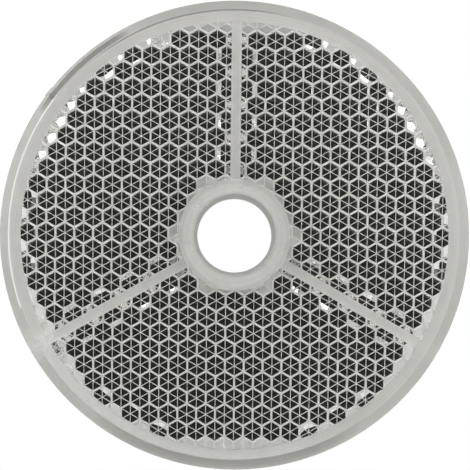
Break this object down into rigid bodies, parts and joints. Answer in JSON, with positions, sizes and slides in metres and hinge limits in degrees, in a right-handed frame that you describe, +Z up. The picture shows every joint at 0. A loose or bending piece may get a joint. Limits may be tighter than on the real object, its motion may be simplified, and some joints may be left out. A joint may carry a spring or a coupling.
{
  "type": "round reflector",
  "caption": "Round clear screw-on reflector: a flat-faced prism lens in three ribbed sectors over a pale grey back plate, with a central screw hole.",
  "frame": {"origin": "on the axis of the screw hole, in the plane of the back mounting face", "axes": "+Z up, with the first rib pointing straight up; the front face looks along -Y; +X to the right seen from the front"},
  "size_m": [0.06, 0.007, 0.06],
  "materials": {
    "clear_acrylic": "clear moulded plastic, polished front, sharp mirror-smooth prisms behind",
    "grey_plastic": "pale warm grey moulded plastic, satin"
  },
  "bodies": {
    "root": {"prism_lens": "clear_acrylic", "back_plate": "grey_plastic"}
  },
  "joints": []
}
